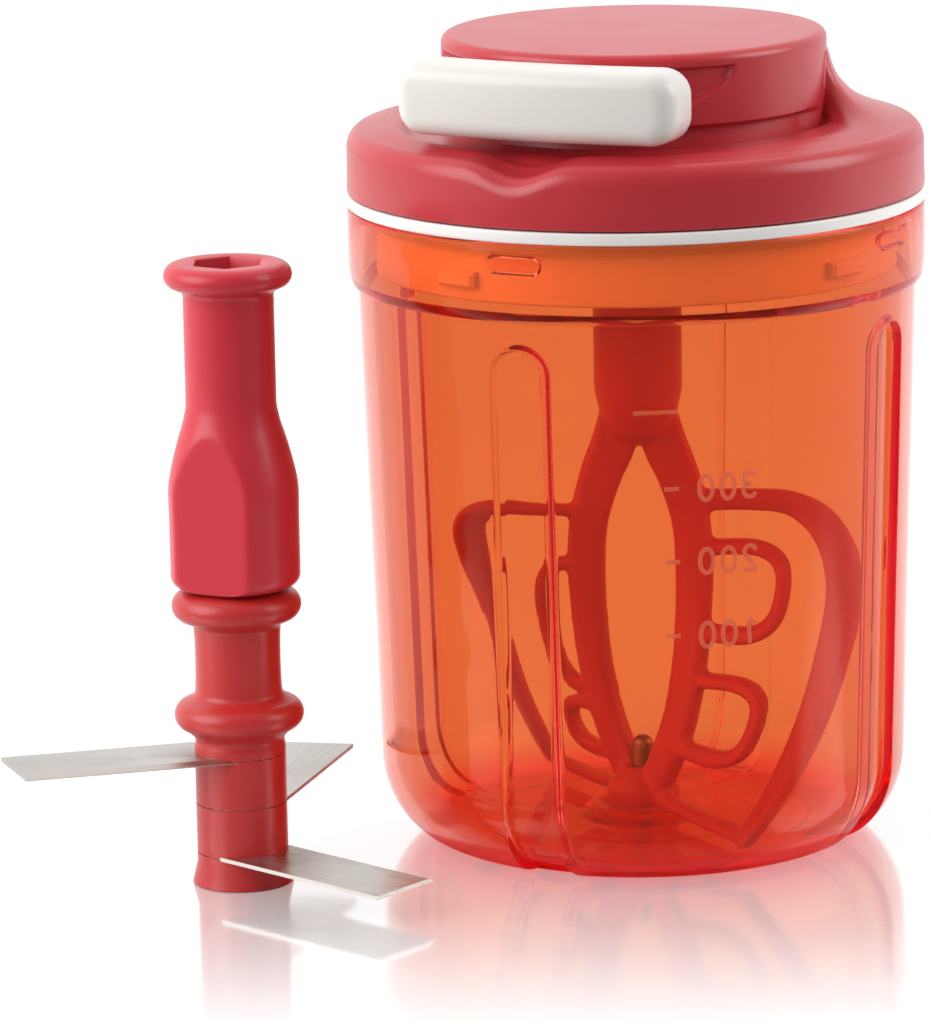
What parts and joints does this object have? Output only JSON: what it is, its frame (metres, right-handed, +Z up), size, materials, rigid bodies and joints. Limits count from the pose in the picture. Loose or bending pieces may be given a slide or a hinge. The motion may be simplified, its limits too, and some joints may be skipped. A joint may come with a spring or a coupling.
{
  "type": "pull-cord food chopper",
  "caption": "Hand-pulled food chopper: clear bowl with flutes, twist-on lid with a pull handle and cord reel, whisk in the bowl, and a separate blade insert.",
  "frame": {"origin": "centre of the underside of the bowl's foot", "axes": "+Z up along the bowl's axis, -Y the front, +X to the right"},
  "size_m": [0.1659, 0.1206, 0.1477],
  "materials": {
    "clear_orange": "clear, glossy",
    "red_gloss": "glossy",
    "red_satin": "satin",
    "white": "satin",
    "silicone": "matt",
    "steel": "brushed",
    "nylon": "matt",
    "spring_steel": "blued"
  },
  "bodies": {
    "bowl": {"bowl": "clear_orange", "pivot_pin": "steel"},
    "seal": {"lid_seal": "silicone"},
    "lid": {"lid_cover": "red_gloss", "lid_base": "white", "cord_eyelet": "steel", "spindle_bush": "nylon", "spring_arbor": "steel", "return_spring": "spring_steel", "lid_screw_1": "steel", "lid_screw_2": "steel", "lid_screw_3": "steel"},
    "handle": {"pull_handle": "white"},
    "reel": {"cord_reel": "nylon", "spring_cover": "nylon", "clutch_pawl_1": "steel", "clutch_pawl_2": "steel"},
    "spindle": {"drive_spindle": "nylon"},
    "whisk": {"whisk": "red_satin"},
    "blade_insert": {"insert_grip": "red_satin", "insert_neck": "red_satin", "insert_core": "nylon", "insert_spacer_upper": "red_satin", "insert_spacer_lower": "red_satin", "insert_foot": "red_satin", "blade_upper": "steel", "blade_middle": "steel", "blade_lower": "steel"}
  },
  "joints": [
    {"name": "lid_lift", "type": "slide", "parent": "bowl", "child": "seal", "axis": [0, 0, 1], "range_m": [0, 0.06]},
    {"name": "lid_turn", "type": "hinge", "parent": "seal", "child": "lid", "pos_m": [0, 0, 0.1167], "axis": [0, 0, 1], "range_deg": [0, 15]},
    {"name": "handle_pull", "type": "slide", "parent": "lid", "child": "handle", "axis": [-0.4147, -0.91, 0], "range_m": [0, 0.25], "stiffness_N_per_m": 12, "springref_m": -0.15},
    {"name": "reel_spin", "type": "hinge", "parent": "lid", "child": "reel", "pos_m": [0, 0, 0.14], "axis": [0, 0, 1], "range_deg": [0, 670]},
    {"name": "spindle_spin", "type": "hinge", "parent": "lid", "child": "spindle", "pos_m": [0, 0, 0.12], "axis": [0, 0, 1], "range_deg": [0, 670]},
    {"name": "whisk_spin", "type": "hinge", "parent": "bowl", "child": "whisk", "pos_m": [0, 0, 0.06], "axis": [0, 0, 1], "range_deg": [0, 670]},
    {"name": "insert_lift", "type": "slide", "parent": "bowl", "child": "blade_insert", "axis": [0, 0, 1], "range_m": [0, 0.05]}
  ],
  "couplings": [
    {"joint": "reel_spin", "follows": "handle_pull", "rad_per_m": 43.5},
    {"joint": "spindle_spin", "follows": "handle_pull", "rad_per_m": 43.5},
    {"joint": "whisk_spin", "follows": "handle_pull", "rad_per_m": 43.5}
  ]
}
